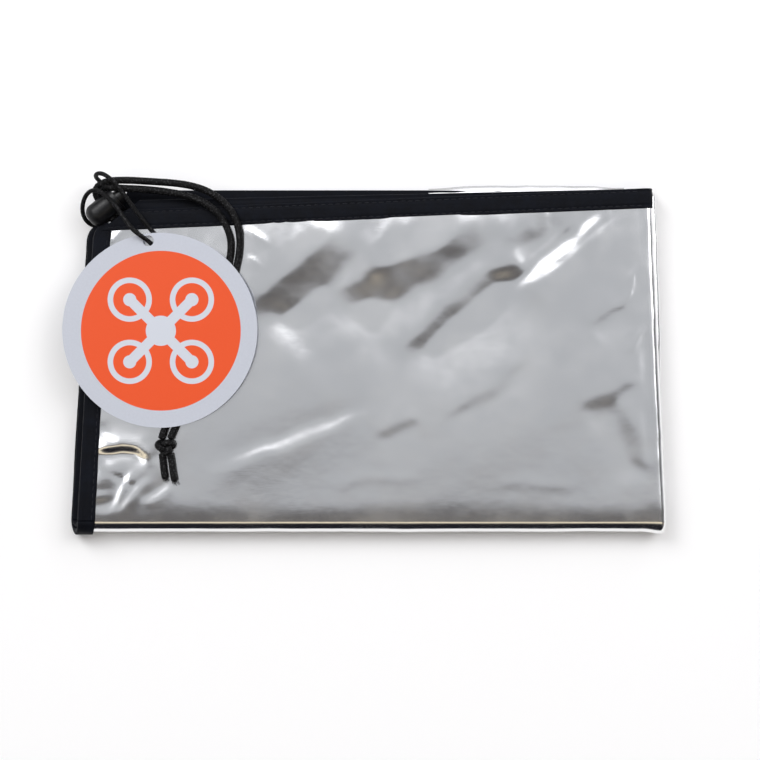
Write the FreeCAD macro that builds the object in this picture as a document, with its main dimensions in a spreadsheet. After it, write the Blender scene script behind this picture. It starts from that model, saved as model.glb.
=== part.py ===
import FreeCAD, Part
import math
import os
import Sketcher
from FreeCAD import Placement, Rotation, Vector

# Metallised drawstring bag, folded in half twice and lying flat.
# Origin at the centre of the underside, +X right, +Y towards the hem, +Z up, millimetres.

dimensions = {
    "foldedWidth": 239.0, "foldedDepth": 139.0, "filmThick": 0.5, "pairGap": 0.4,
    "leafGap": 0.4, "lowerLeafGap": 0.9, "halfGap": 0.3, "sideLean": 0.0405,
    "hemWidth": 8.0, "hemThick": 1.6, "fabricThick": 0.25, "hemGap": 0.1, "hemEndInset": 9.3,
    "backSlope": 2.4, "frontSlope": 1.3, "casingSeam": 1.0,
    "flatCordWidth": 5.0, "flatCordThick": 1.0,
    "bindingWidth": 7.0, "bindingWall": 0.3, "bindingGrip": 5.5, "bindingEnd": 51.0,
    "edgeLean": 0.055, "fanStep": 2.4,
    "stitchWidth": 0.5, "stitchRise": 0.25, "stitchInset": 1.2,
    "cordDiameter": 3.0, "lockX": -111.8, "lockY": 56.5, "lockAngle": 39.07,
    "lockReach": 6.0, "lockDiameter": 10.0, "lockLength": 14.2, "domeFillet": 4.0,
    "boreDiameter": 6.6, "boreStart": 1.6, "slotStart": 4.0, "slotLength": 8.1,
    "slotRise": 3.3, "plungerDiameter": 6.3, "plungerFoot": 1.0, "plungerTravel": 1.8,
    "buttonRise": 3.0, "buttonFillet": 0.8, "springDiameter": 4.4, "springWire": 0.4,
    "springTurns": 2.5, "tagDiameter": 77.6, "tagThick": 0.6, "tagHole": 4.4,
    "tagX": -83.2, "tagY": 12.6, "holeX": -87.8, "holeY": 48.2, "tagLift": 0.3,
    "loopDiameter": 1.8, "knotWidth": 8.4, "knotDepth": 7.0, "knotRise": 5.2,
    "beadWidth": 5.4, "beadDepth": 3.4, "beadRise": 3.0,
    "outerStitchShort": 25.0, "innerStitchShort": 36.0, "seamStitchShort": 30.0,
    "seamStitchStart": 24.0, "tableTop": 0.0, "lockAxis": 0.0, "seamSlope": 0.0,
    "cordKnotX": -81.2, "cordKnotY": -33.8, "loopKnotX": -84.25, "loopKnotY": 43.2,
}

doc = FreeCAD.newDocument("DrawstringBag")
sheet = doc.addObject("Spreadsheet::Sheet", "Dims")
for row, (alias, number) in enumerate(dimensions.items(), 1):
    sheet.set("A%d" % row, alias)
    sheet.set("B%d" % row, str(number))
    sheet.setAlias("B%d" % row, alias)
doc.recompute()
parts = []


def cells(text):
    """Expression on the sheet's cells from one on their plain names."""
    for name in sorted(dimensions, key=len, reverse=True):
        text = text.replace(name, "<<%d>>" % list(dimensions).index(name))
    for index, name in enumerate(dimensions):
        text = text.replace("<<%d>>" % index, "Dims." + name)
    return text


def size(text):
    """Value of an expression on plain names."""
    return float(sheet.evalExpression(cells(text)))


def bind(thing, path, text):
    thing.setExpression(path, cells(text))


# Heights of the layers above the table.
lowA = "bindingWall"
lowAFront = lowA + " + filmThick + pairGap"
lowCFront = lowAFront + " + filmThick + lowerLeafGap"
lowC = lowCFront + " + filmThick + pairGap"
lowerTop = lowC + " + filmThick + bindingWall"
hemD = lowerTop + " + halfGap"
hemDFront = hemD + " + hemThick + hemGap"
hemBFront = hemDFront + " + hemThick + leafGap"
hemB = hemBFront + " + hemThick + hemGap"
hemTop = hemB + " + hemThick"
filmDrop = "(hemThick - filmThick) / 2"
filmD = hemD + " + " + filmDrop
filmDFront = hemDFront + " + " + filmDrop
filmBFront = hemBFront + " + " + filmDrop
filmB = hemB + " + " + filmDrop
filmTop = filmB + " + filmThick"
foldRadius = "(%s + bindingWall) / 2" % filmTop
foldLine = "-foldedDepth / 2 + " + foldRadius
rightEdge = "foldedWidth / 2"
hemPivot = "foldedWidth / 2 - hemEndInset"
edgeX = "-foldedWidth / 2 + edgeLean * (%s + foldedDepth / 2)"


def newBody(label):
    body = doc.addObject("PartDesign::Body", label)
    body.Label = label
    parts.append(body)
    return body


def newSketch(body, name, plane, offset="0"):
    sketch = body.newObject("Sketcher::SketchObject", body.Label + "_" + name)
    origin = [f for f in body.Origin.OriginFeatures if f.Role == plane][0]
    sketch.AttachmentSupport = (origin, "")
    sketch.MapMode = "FlatFace"
    bind(sketch, "AttachmentOffset.Base.z", offset)
    return sketch


def fix(sketch, kind, where, text):
    """Add one dimension to a sketch and tie it to the sheet."""
    index = sketch.addConstraint(Sketcher.Constraint(kind, *where, size(text)))
    sketch.renameConstraint(index, "d%d" % index)
    bind(sketch, "Constraints.d%d" % index, text)


def outline(sketch, corners):
    """Closed polygon whose corners are pairs of expressions."""
    points = [Vector(size(x), size(y), 0) for x, y in corners]
    count = len(points)
    for i in range(count):
        sketch.addGeometry(Part.LineSegment(points[i], points[(i + 1) % count]), False)
    for i in range(count):
        sketch.addConstraint(Sketcher.Constraint("Coincident", i, 2, (i + 1) % count, 1))
    for i, (x, y) in enumerate(corners):
        fix(sketch, "DistanceX", (-1, 1, i, 1), x)
        fix(sketch, "DistanceY", (-1, 1, i, 1), y)


def pad(body, sketch, length, reverse=False):
    feature = body.newObject("PartDesign::Pad", sketch.Name + "_pad")
    feature.Profile = sketch
    feature.Reversed = reverse
    bind(feature, "Length", length)
    return feature


def cut(body, sketch, length=None):
    """Pocket towards the sketch's underside, or through everything both ways."""
    doc.recompute()
    before = body.Shape.Volume
    feature = body.newObject("PartDesign::Pocket", sketch.Name + "_cut")
    feature.Profile = sketch
    if length:
        bind(feature, "Length", length)
    else:
        feature.Type = "ThroughAll"
        feature.Midplane = True
    doc.recompute()
    if body.Shape.Volume > before - 1e-3:
        raise ValueError(sketch.Name + " removes nothing")
    return feature


def bandProfile(sketch, low, high, thick, left, right):
    """U lying on its side: two layers joined by a half ring at the right."""
    a, b, t = size(low), size(high), size(thick)
    xl, r = size(left), (size(high) - size(low)) / 2
    xc, zc = size(right) - r, (size(low) + size(high)) / 2
    middle, up = Vector(xc, zc, 0), Vector(0, 0, 1)
    lines = {
        0: ((xl, a), (xc, a)), 2: ((xc, b), (xl, b)), 3: ((xl, b), (xl, b - t)),
        4: ((xl, b - t), (xc, b - t)), 6: ((xc, a + t), (xl, a + t)), 7: ((xl, a + t), (xl, a)),
    }
    radii = {1: r, 5: r - t}
    for i in range(8):
        if i in lines:
            start, end = lines[i]
            sketch.addGeometry(Part.LineSegment(Vector(*start, 0), Vector(*end, 0)), False)
        else:
            ring = Part.Circle(middle, up, radii[i])
            sketch.addGeometry(Part.ArcOfCircle(ring, -1.5707963, 1.5707963), False)
    for pair in ((0, 2, 1, 1), (1, 2, 2, 1), (4, 2, 5, 2), (5, 1, 6, 1)):
        sketch.addConstraint(Sketcher.Constraint("Tangent", *pair))
    for pair in ((2, 2, 3, 1), (3, 2, 4, 1), (6, 2, 7, 1), (7, 2, 0, 1), (1, 3, 5, 3)):
        sketch.addConstraint(Sketcher.Constraint("Coincident", *pair))
    for i in (0, 2):
        sketch.addConstraint(Sketcher.Constraint("Horizontal", i))
    for i in (3, 7):
        sketch.addConstraint(Sketcher.Constraint("Vertical", i))
    sketch.addConstraint(Sketcher.Constraint("Vertical", 0, 1, 2, 2))
    fix(sketch, "DistanceX", (-1, 1, 0, 1), left)
    fix(sketch, "DistanceY", (-1, 1, 0, 1), low)
    fix(sketch, "DistanceY", (-1, 1, 2, 2), high)
    fix(sketch, "DistanceY", (3, 2, 3, 1), thick)
    fix(sketch, "DistanceX", (-1, 1, 1, 3), "%s - (%s - (%s)) / 2" % (right, high, low))


def foldedBand(label, low, high, thick, left, right, near, far, lean=None):
    """Layer folded back on itself about the right edge, from near to far along Y."""
    body = newBody(label)
    sketch = newSketch(body, "fold", "XZ_Plane", "-(%s)" % near)
    bandProfile(sketch, low, high, thick, left, right)
    feature = pad(body, sketch, "%s - (%s)" % (far, near), reverse=True)
    if lean:
        feature.UseCustomVector = True
        feature.Direction = Vector(size(lean), -1, 0)
        bind(feature, "Direction.x", lean)
        feature.AlongSketchNormal = True
    return body


def hemLineAt(x, slope):
    """Height in Y of a hem's lower edge at x."""
    return "foldedDepth / 2 - hemWidth / cos(%s) + tan(%s) * (%s - (%s))" % (slope, slope, x, hemPivot)


def cutEnd(body, slope, pivotX, pivotY):
    """Slanted left end that leaves room for the cord lock, in a frame turned by slope."""
    x = "(lockX + lockReach * sin(lockAngle) - (%s))" % pivotX
    y = "(lockY - lockReach * cos(lockAngle) - (%s))" % pivotY
    localX = "%s * cos(%s) + %s * sin(%s)" % (x, slope, y, slope)
    localY = "%s * cos(%s) - %s * sin(%s)" % (y, slope, x, slope)
    runX = "foldedDepth * cos(lockAngle - %s)" % slope
    runY = "foldedDepth * sin(lockAngle - %s)" % slope
    sketch = newSketch(body, "end", "XY_Plane")
    outline(sketch, [("%s - %s" % (localX, runX), "%s - %s" % (localY, runY)),
                     ("%s + %s" % (localX, runX), "%s + %s" % (localY, runY)),
                     ("-foldedWidth * 2", "%s + %s" % (localY, runY)),
                     ("-foldedWidth * 2", "%s - %s" % (localY, runY))])
    cut(body, sketch)


def filmPanel(label, low, high, slope, far, leftInset, rightInset="tableTop"):
    """Half of one film panel: two leaves joined along the right edge."""
    body = foldedBand(label, low, high, "filmThick", "-foldedWidth / 2",
                      "%s - (%s)" % (rightEdge, rightInset), foldLine, far, "sideLean")
    if slope:
        top = newSketch(body, "top", "XY_Plane")
        outline(top, [("-foldedWidth", hemLineAt("-foldedWidth", slope)),
                      ("foldedWidth", hemLineAt("foldedWidth", slope)),
                      ("foldedWidth", "foldedDepth"), ("-foldedWidth", "foldedDepth")])
        cut(body, top)
    side = newSketch(body, "side", "XY_Plane")
    outline(side, [(edgeX % "-foldedDepth" + " + " + leftInset, "-foldedDepth"),
                   (edgeX % "foldedDepth" + " + " + leftInset, "foldedDepth"),
                   ("-foldedWidth", "foldedDepth"), ("-foldedWidth", "-foldedDepth")])
    cut(body, side)
    cutEnd(body, "0", "0", "0")
    return body


def restOnTable(film):
    """Between its bindings the lowest leaf sags the thickness of the tape to the table."""
    sketch = newSketch(film, "sag", "XY_Plane")
    seamEdge = "foldedDepth / 2 - hemWidth - bindingWall"
    flatEdge = "foldedWidth / 2 - (%s) - sideLean * foldedDepth" % foldRadius
    outline(sketch, [(edgeX % foldLine + " + bindingWidth + bindingWall", foldLine),
                     (flatEdge, foldLine), (flatEdge, seamEdge),
                     ("lockX + lockReach / sin(lockAngle) + bindingWidth", seamEdge),
                     (edgeX % "bindingEnd" + " + bindingWidth + bindingWall", "bindingEnd")])
    pad(film, sketch, lowA)


def placeHem(thing, slope):
    """Turn a piece drawn along the hem about the hem's right end."""
    thing.Placement = Placement(Vector(), Rotation(Vector(0, 0, 1), 0))
    bind(thing, "Placement.Base.x", hemPivot)
    bind(thing, "Placement.Base.y", "foldedDepth / 2")
    bind(thing, "Placement.Rotation.Angle", slope)


def hollowBand(body, low, high, thick, left, right, near, depth, lean=None):
    """Channel inside a folded band, following the same fold."""
    sketch = newSketch(body, "channel", "XZ_Plane", "-(%s)" % near)
    bandProfile(sketch, low, high, thick, left, right)
    feature = cut(body, sketch, depth)
    if lean:
        feature.UseCustomVector = True
        feature.Direction = Vector(-size(lean), 1, 0)
        bind(feature, "Direction.x", "-" + lean)
        feature.AlongSketchNormal = True


def hemCasing(label, low, high, slope):
    """Woven tube along the mouth, open at its left end for the drawcord."""
    bend = "(%s - (%s)) / 2" % (high, low)
    body = foldedBand(label, low, high, "hemThick", "-foldedWidth", bend, "-hemWidth", "0")
    hollowBand(body, low + " + fabricThick", high + " - fabricThick", "hemThick - 2 * fabricThick",
               "-foldedWidth - 1", bend + " - fabricThick", "casingSeam - hemWidth",
               "hemWidth - 2 * casingSeam")
    cutEnd(body, slope, hemPivot, "foldedDepth / 2")
    placeHem(body, slope)


def casingCord(label, low, high, slope):
    """Drawcord lying flat inside its casing."""
    inset = "(hemThick - flatCordThick) / 2"
    bend = "(%s - (%s)) / 2 - %s" % (high, low, inset)
    body = foldedBand(label, low + " + " + inset, high + " - " + inset, "flatCordThick",
                      "-foldedWidth", bend, "-(hemWidth + flatCordWidth) / 2",
                      "-(hemWidth - flatCordWidth) / 2")
    cutEnd(body, slope, hemPivot, "foldedDepth / 2")
    placeHem(body, slope)


def sideBinding(label, low, high, inset):
    """Folded tape that grips both films of one leaf along the side seam."""
    body = newBody(label)
    strip = newSketch(body, "strip", "XY_Plane", low)
    slot = newSketch(body, "slot", "XY_Plane", high + " - bindingWall")
    foot, head = foldLine, "bindingEnd"
    for sketch, left, right in ((strip, "0", "bindingWidth"),
                                (slot, "(bindingWidth - bindingGrip)", "2 * bindingWidth")):
        base = edgeX + " + " + inset + " + "
        outline(sketch, [(base % foot + left, foot), (base % foot + right, foot),
                         (base % head + right, head), (base % head + left, head)])
        if sketch is strip:
            pad(body, strip, "%s - (%s)" % (high, low))
    cut(body, slot, "%s - (%s) - 2 * bindingWall" % (high, low))


def foldRing(label, low, high, thick, left, width):
    """Half ring along X that carries one layer round the bottom fold."""
    body = newBody(label)
    sketch = newSketch(body, "ring", "YZ_Plane", left)
    r, t = (size(high) - size(low)) / 2, size(thick)
    middle = Vector(size(foldLine), (size(low) + size(high)) / 2, 0)
    for radius in (r, r - t):
        ring = Part.Circle(middle, Vector(0, 0, 1), radius)
        sketch.addGeometry(Part.ArcOfCircle(ring, 1.5707963, 4.7123890), False)
    for sign in (1, -1):
        ends = [middle + Vector(0, sign * radius, 0) for radius in (r, r - t)]
        sketch.addGeometry(Part.LineSegment(*ends), False)
    for pair in ((0, 1, 2, 1), (1, 1, 2, 2), (0, 2, 3, 1), (1, 2, 3, 2), (0, 3, 1, 3)):
        sketch.addConstraint(Sketcher.Constraint("Coincident", *pair))
    sketch.addConstraint(Sketcher.Constraint("Vertical", 2))
    sketch.addConstraint(Sketcher.Constraint("Vertical", 3))
    sketch.addConstraint(Sketcher.Constraint("Vertical", 0, 1, 0, 3))
    fix(sketch, "DistanceX", (-1, 1, 0, 3), foldLine)
    fix(sketch, "DistanceY", (-1, 1, 0, 2), low)
    fix(sketch, "DistanceY", (-1, 1, 0, 1), high)
    fix(sketch, "DistanceY", (2, 2, 2, 1), thick)
    pad(body, sketch, width)
    return body


def group(label, members):
    """One node made of several separate solids."""
    node = doc.addObject("Part::Compound", label)
    node.Label = label
    node.Links = members
    for member in members:
        if member in parts:
            parts.remove(member)
    parts.append(node)
    return node


def stitchRow(name, length, slope, x, y, z):
    """One line of thread lying on the cloth, along the local X of the hem."""
    row = doc.addObject("Part::Box", name)
    bind(row, "Length", length)
    bind(row, "Width", "stitchWidth")
    bind(row, "Height", "stitchRise")
    bind(row, "Placement.Base.x", x)
    bind(row, "Placement.Base.y", y)
    bind(row, "Placement.Base.z", z)
    bind(row, "Placement.Rotation.Angle", slope)
    return row


filmInset = "(bindingWidth - bindingGrip)"
upperInset = "fanStep + " + filmInset
seamFilm = "foldedDepth / 2 - hemWidth + bindingGrip"
restOnTable(filmPanel("lower_back_film", lowA, lowC + " + filmThick", "", seamFilm, filmInset))
filmPanel("lower_front_film", lowAFront, lowCFront + " + filmThick", "", seamFilm, filmInset,
          "filmThick + pairGap")
filmPanel("upper_back_film", filmD, filmTop, "backSlope", "foldedDepth / 2", upperInset)
filmPanel("upper_front_film", filmDFront, filmBFront + " + filmThick", "frontSlope",
          "foldedDepth / 2", upperInset, "hemThick + hemGap")
hemCasing("hem_casing_back", hemD, hemTop, "backSlope")
hemCasing("hem_casing_front", hemDFront, hemBFront + " + hemThick", "frontSlope")
casingCord("casing_cord_back", hemD, hemTop, "backSlope")
casingCord("casing_cord_front", hemDFront, hemBFront + " + hemThick", "frontSlope")
firstTop = lowAFront + " + filmThick + bindingWall"
sideBinding("side_binding_lower_outer", "tableTop", firstTop, "tableTop")
sideBinding("side_binding_lower_inner", lowCFront + " - bindingWall", lowerTop, "tableTop")
sideBinding("side_binding_upper_inner", filmD + " - bindingWall",
            filmDFront + " + filmThick + bindingWall", "fanStep")
sideBinding("side_binding_upper_outer", filmBFront + " - bindingWall",
            filmTop + " + bindingWall", "fanStep")

seamNear = "(foldedDepth / 2 - hemWidth)"
seamRight = "%s - sideLean * (%s - (%s))" % (rightEdge, seamNear, foldLine)
seam = foldedBand("bottom_seam_binding", "tableTop", lowerTop, firstTop, "-foldedWidth / 2",
                  seamRight + " + bindingWall", seamNear, "foldedDepth / 2", "sideLean")
hollowBand(seam, lowA, lowerTop + " - bindingWall", lowAFront + " + filmThick - bindingWall",
           "-foldedWidth", seamRight, seamNear, "bindingGrip", "sideLean")
cutEnd(seam, "0", "0", "0")

filmLeft = "-foldedWidth / 2 + bindingWidth + fanStep"
filmRun = "foldedWidth - bindingWidth - fanStep - %s" % foldRadius
for label, pairs in {
    "back_film_fold": [(lowA, filmTop), (lowC, filmD + " + filmThick")],
    "front_film_fold": [(lowAFront, filmBFront + " + filmThick"), (lowCFront, filmDFront + " + filmThick")],
}.items():
    rings = [foldRing("%s_%d" % (label, k), low, high, "filmThick", filmLeft, filmRun)
             for k, (low, high) in enumerate(pairs)]
    group(label, rings)
rings = [foldRing("side_binding_fold_%d" % k, low, high, firstTop, "-foldedWidth / 2",
                  "bindingWidth + fanStep")
         for k, (low, high) in enumerate([
             ("tableTop", filmTop + " + bindingWall"),
             (lowCFront + " - bindingWall", filmDFront + " + filmThick + bindingWall")])]
group("side_binding_fold", rings)

rows = []
for k, (reach, drop) in enumerate((("(foldedWidth - outerStitchShort)", "(hemWidth - stitchInset)"),
                                   ("(foldedWidth - innerStitchShort)", "stitchInset"))):
    rows.append(stitchRow("hem_row_%d" % k, reach, "backSlope",
                          "%s - %s * cos(backSlope) + %s * sin(backSlope)" % (hemPivot, reach, drop),
                          "foldedDepth / 2 - %s * sin(backSlope) - %s * cos(backSlope)" % (reach, drop),
                          hemTop))
group("hem_stitching", rows)


def lockFrame(thing):
    """Put a piece drawn along the lock's own axis where the lock lies."""
    bind(thing, "Placement.Base.x", "lockX")
    bind(thing, "Placement.Base.y", "lockY")
    bind(thing, "Placement.Base.z", lockHeight)
    bind(thing, "Placement.Rotation.Angle", "lockAngle")


def turned(body, corners, rounds):
    """Solid of revolution about X from a half outline; rounds maps an edge to an arc centre."""
    sketch = newSketch(body, "turning", "XZ_Plane")
    points = [Vector(size(x), size(y), 0) for x, y in corners]
    count = len(points)
    for i in range(count):
        a, b = points[i], points[(i + 1) % count]
        if i in rounds:
            middle = Vector(size(rounds[i][0]), size(rounds[i][1]), 0)
            radius = (a - middle).Length
            mean = (a + b) * 0.5 - middle
            mean.normalize()
            sketch.addGeometry(Part.Arc(a, middle + mean * radius, b), False)
        else:
            sketch.addGeometry(Part.LineSegment(a, b), False)
    tied = []
    for i in range(count):
        j = (i + 1) % count
        # an arc drawn clockwise keeps its ends the other way round
        end = 1 if i in rounds else 2
        start = 2 if j in rounds else 1
        sketch.addConstraint(Sketcher.Constraint("Coincident", i, end, j, start))
    for i, (x, y) in enumerate(corners):
        start = 2 if i in rounds else 1
        fix(sketch, "DistanceX", (-1, 1, i, start), x)
        fix(sketch, "DistanceY", (-1, 1, i, start), y)
    for i, (x, y) in rounds.items():
        fix(sketch, "DistanceX", (-1, 1, i, 3), x)
    feature = body.newObject("PartDesign::Revolution", body.Label + "_turned")
    feature.Profile = sketch
    feature.ReferenceAxis = (sketch, ["H_Axis"])
    feature.Angle = 360
    return feature


def crossSlot(body, start):
    """Window across the lock that both cords run through."""
    sketch = newSketch(body, "window", "XZ_Plane")
    outline(sketch, [(start, "-slotRise / 2"), (start + " + slotLength", "-slotRise / 2"),
                     (start + " + slotLength", "slotRise / 2"), (start, "slotRise / 2")])
    cut(body, sketch)


lockHeight = hemB + " - hemGap / 2"
lockBody = newBody("cord_lock_body")
flat = "lockDiameter / 2 - domeFillet"
turned(lockBody, [("lockAxis", "lockAxis"), ("lockAxis", flat),
                  ("domeFillet", "lockDiameter / 2"), ("lockLength", "lockDiameter / 2"),
                  ("lockLength", "lockAxis")], {1: ("domeFillet", flat)})
bore = newSketch(lockBody, "bore", "YZ_Plane", "lockLength")
bore.addGeometry(Part.Circle(Vector(), Vector(0, 0, 1), size("boreDiameter") / 2), False)
bore.addConstraint(Sketcher.Constraint("Coincident", 0, 3, -1, 1))
fix(bore, "Diameter", (0,), "boreDiameter")
cut(lockBody, bore, "lockLength - boreStart")
crossSlot(lockBody, "slotStart")
lockFrame(lockBody)

plunger = newBody("cord_lock_plunger")
foot = "slotStart + plungerTravel - plungerFoot"
tip = "lockLength + buttonRise"
turned(plunger, [(foot, "lockAxis"), (foot, "plungerDiameter / 2"),
                 (tip + " - buttonFillet", "plungerDiameter / 2"),
                 (tip, "plungerDiameter / 2 - buttonFillet"), (tip, "lockAxis")],
       {2: (tip + " - buttonFillet", "plungerDiameter / 2 - buttonFillet")})
crossSlot(plunger, "slotStart + plungerTravel")
lockFrame(plunger)


spring = doc.addObject("Part::Feature", "cord_lock_spring")
spring.Label = "cord_lock_spring"
springRoom = size(foot + " - boreStart") - size("springWire")
pitch = springRoom / size("springTurns")
coil = Part.makeHelix(pitch, springRoom, size("springDiameter - springWire") / 2)
section = Part.Circle(Vector(size("springDiameter - springWire") / 2, 0, 0), Vector(0, 1, 0),
                      size("springWire") / 2)
spring.Shape = coil.makePipeShell([Part.Wire(section.toShape())], True, True)
alongLock = Rotation(Vector(0, 0, 1), size("lockAngle")) * Rotation(Vector(0, 1, 0), 90)
spring.Placement = Placement(
    Vector(size("lockX"), size("lockY"), size(lockHeight))
    + alongLock.multVec(Vector(0, 0, size("boreStart + springWire / 2"))), alongLock)
parts.append(spring)

tagHeight = filmTop + " + cordDiameter + tagLift"
tag = newBody("tag_card")
face = newSketch(tag, "face", "XY_Plane")
for k, (x, y, width) in enumerate((("tagX", "tagY", "tagDiameter"), ("holeX", "holeY", "tagHole"))):
    circle = Part.Circle(Vector(size(x), size(y), 0), Vector(0, 0, 1), size(width) / 2)
    face.addGeometry(circle, False)
    fix(face, "DistanceX", (-1, 1, k, 3), x)
    fix(face, "DistanceY", (-1, 1, k, 3), y)
    fix(face, "Diameter", (k,), width)
pad(tag, face, "tagThick")
bind(tag, "Placement.Base.z", tagHeight)


def cordTube(label, route, diameter):
    """Round tube along straight runs joined by tangent arcs."""
    points = [Vector(*p) for p in route]
    runs = [b - a for a, b in zip(points, points[1:])]
    edges, start, radii = [], points[0], []
    for i in range(1, len(points) - 1):
        before, after = runs[i - 1], runs[i]
        trim = 0.45 * min(before.Length, after.Length)
        half = before.getAngle(after) / 2
        radii.append(round(trim / math.tan(half), 1))
        entry = points[i] - before * (trim / before.Length)
        leave = points[i] + after * (trim / after.Length)
        sagitta = (1 / math.cos(half) - 1) * trim / math.tan(half)
        inward = ((entry + leave) * 0.5 - points[i]).normalize()
        edges.append(Part.LineSegment(start, entry).toShape())
        edges.append(Part.Arc(entry, points[i] + inward * sagitta, leave).toShape())
        start = leave
    edges.append(Part.LineSegment(start, points[-1]).toShape())
    path = Part.Wire(edges)
    mouth = Part.Wire(Part.Circle(points[0], points[1] - points[0], diameter / 2).toShape())
    node = doc.addObject("Part::Feature", label)
    node.Label = label
    node.Shape = path.makePipeShell([mouth], True, False)
    parts.append(node)
    share = node.Shape.Volume / (math.pi * diameter ** 2 / 4 * path.Length)
    print(label, "length", round(path.Length, 1), "volume share", round(share, 3), "radii", radii)


outerRoute = [
    (-102.26, 56.56, 9.95), (-109.3, 65.24, 9.95), (-109.3, 70.1, 11.2), (-104.2, 72.3, 13.3),
    (-96.0, 72.5, 13.5), (-86.5, 71.9, 13.45), (-76.5, 71.3, 13.4), (-68.5, 69.8, 13.4),
    (-62.2, 67.1, 13.4), (-57.0, 63.0, 13.4), (-53.4, 57.8, 13.4), (-51.6, 51.6, 13.2),
    (-51.5, 44.6, 12.7), (-53.2, 36.0, 12.6), (-57.4, 22.0, 12.6), (-63.4, 6.0, 12.6),
    (-69.4, -8.6, 12.6), (-74.4, -19.6, 12.6), (-77.6, -26.6, 12.7), (-79.4, -31.0, 13.2),
]
innerRoute = [
    (-99.89, 58.48, 9.95), (-107.4, 67.72, 9.95), (-106.7, 70.0, 11.4), (-103.4, 69.7, 13.0),
    (-98.2, 69.2, 13.4), (-92.0, 69.0, 13.4), (-84.5, 68.4, 13.4), (-76.4, 67.2, 13.4),
    (-69.3, 65.3, 13.4), (-63.5, 62.3, 13.4), (-59.0, 58.1, 13.4), (-56.0, 52.7, 13.4),
    (-54.7, 46.2, 12.7), (-56.4, 36.6, 12.6), (-61.2, 22.0, 12.6), (-67.2, 5.8, 12.6),
    (-73.2, -8.6, 12.6), (-78.2, -19.6, 12.6), (-81.6, -26.4, 12.7), (-82.9, -31.0, 13.2),
]
loopRoute = [
    (-85.3, 44.2, 12.6), (-86.2, 46.8, 12.65), (-89.7, 49.5, 16.95), (-93.6, 52.2, 17.2),
    (-97.2, 57.0, 16.7), (-100.8, 62.2, 16.4), (-104.6, 66.3, 16.4), (-108.4, 68.6, 15.6),
    (-112.0, 67.8, 13.4), (-114.4, 64.4, 11.0), (-115.2, 60.2, 8.4), (-114.0, 56.6, 5.6),
    (-110.9, 54.8, 3.4), (-107.4, 56.4, 2.3), (-105.2, 60.0, 2.0), (-104.8, 64.6, 2.2),
    (-106.2, 69.0, 3.4), (-108.2, 72.6, 6.0), (-109.5, 74.0, 9.6), (-108.9, 74.9, 13.2),
    (-106.4, 75.1, 16.0), (-103.0, 73.2, 17.1), (-99.6, 69.6, 16.8), (-96.6, 65.6, 15.8),
    (-93.4, 60.8, 14.7), (-90.0, 56.4, 13.7), (-86.9, 52.6, 12.9), (-84.5, 49.6, 12.5),
    (-83.4, 46.8, 12.5), (-83.2, 44.2, 12.6),
]
leftTailRoute = [(-82.6, -36.4, 13.0), (-82.2, -40.0, 12.6), (-81.9, -43.4, 12.6), (-81.3, -46.8, 12.6)]
rightTailRoute = [(-79.4, -36.4, 13.0), (-78.7, -40.0, 12.6), (-78.3, -43.8, 12.6), (-77.5, -47.8, 12.6)]


def knot(label, x, y, width, depth, rise):
    """Rounded body of a tied knot, resting on the film."""
    node = doc.addObject("Part::Ellipsoid", label)
    node.Label = label
    node.Angle1, node.Angle2, node.Angle3 = -90, 90, 360
    for path, text in (("Radius1", rise + " / 2"), ("Radius2", width + " / 2"),
                       ("Radius3", depth + " / 2"), ("Placement.Base.x", x), ("Placement.Base.y", y),
                       ("Placement.Base.z", filmTop + " + %s / 2 + stitchRise / 5" % rise)):
        bind(node, path, text)
    parts.append(node)


cordTube("drawcord_outer", outerRoute, size("cordDiameter"))
cordTube("drawcord_inner", innerRoute, size("cordDiameter"))
cordTube("cord_tail_left", leftTailRoute, size("cordDiameter"))
cordTube("cord_tail_right", rightTailRoute, size("cordDiameter"))
cordTube("tag_loop", loopRoute, size("loopDiameter"))
knot("drawcord_knot", "cordKnotX", "cordKnotY", "knotWidth", "knotDepth", "knotRise")
knot("tag_loop_knot", "loopKnotX", "loopKnotY", "beadWidth", "beadDepth", "beadRise")
edgeRow = edgeX % foldLine + " + fanStep + bindingWidth - stitchInset"
sideRow = stitchRow("side_row", "(bindingEnd - (%s)) / cos(atan(edgeLean))" % foldLine,
                    "90 deg - atan(edgeLean)", edgeRow, foldLine, filmTop + " + bindingWall")
group("side_stitching", [sideRow])
seamRow = stitchRow("seam_row", "foldedWidth - seamStitchShort", "seamSlope",
                    "-foldedWidth / 2 + seamStitchStart", seamNear + " + stitchInset", lowerTop)
group("bottom_seam_stitching", [seamRow])

doc.recompute()
for item in doc.Objects:
    if "Invalid" in item.State or "Error" in item.State:
        raise ValueError("%s failed: %s" % (item.Name, item.State))
for item in parts:
    if item.Shape.isNull() or not item.Shape.isValid():
        raise ValueError(item.Label + " has no valid shape")
os.makedirs("parts", exist_ok=True)
for item in parts:
    item.Shape.exportStep("parts/%s.step" % item.Label)
    print(item.Label, len(item.Shape.Solids), round(item.Shape.Volume, 1))
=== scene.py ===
import math
import random
import bpy
import numpy as np
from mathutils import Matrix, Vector, noise


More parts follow.
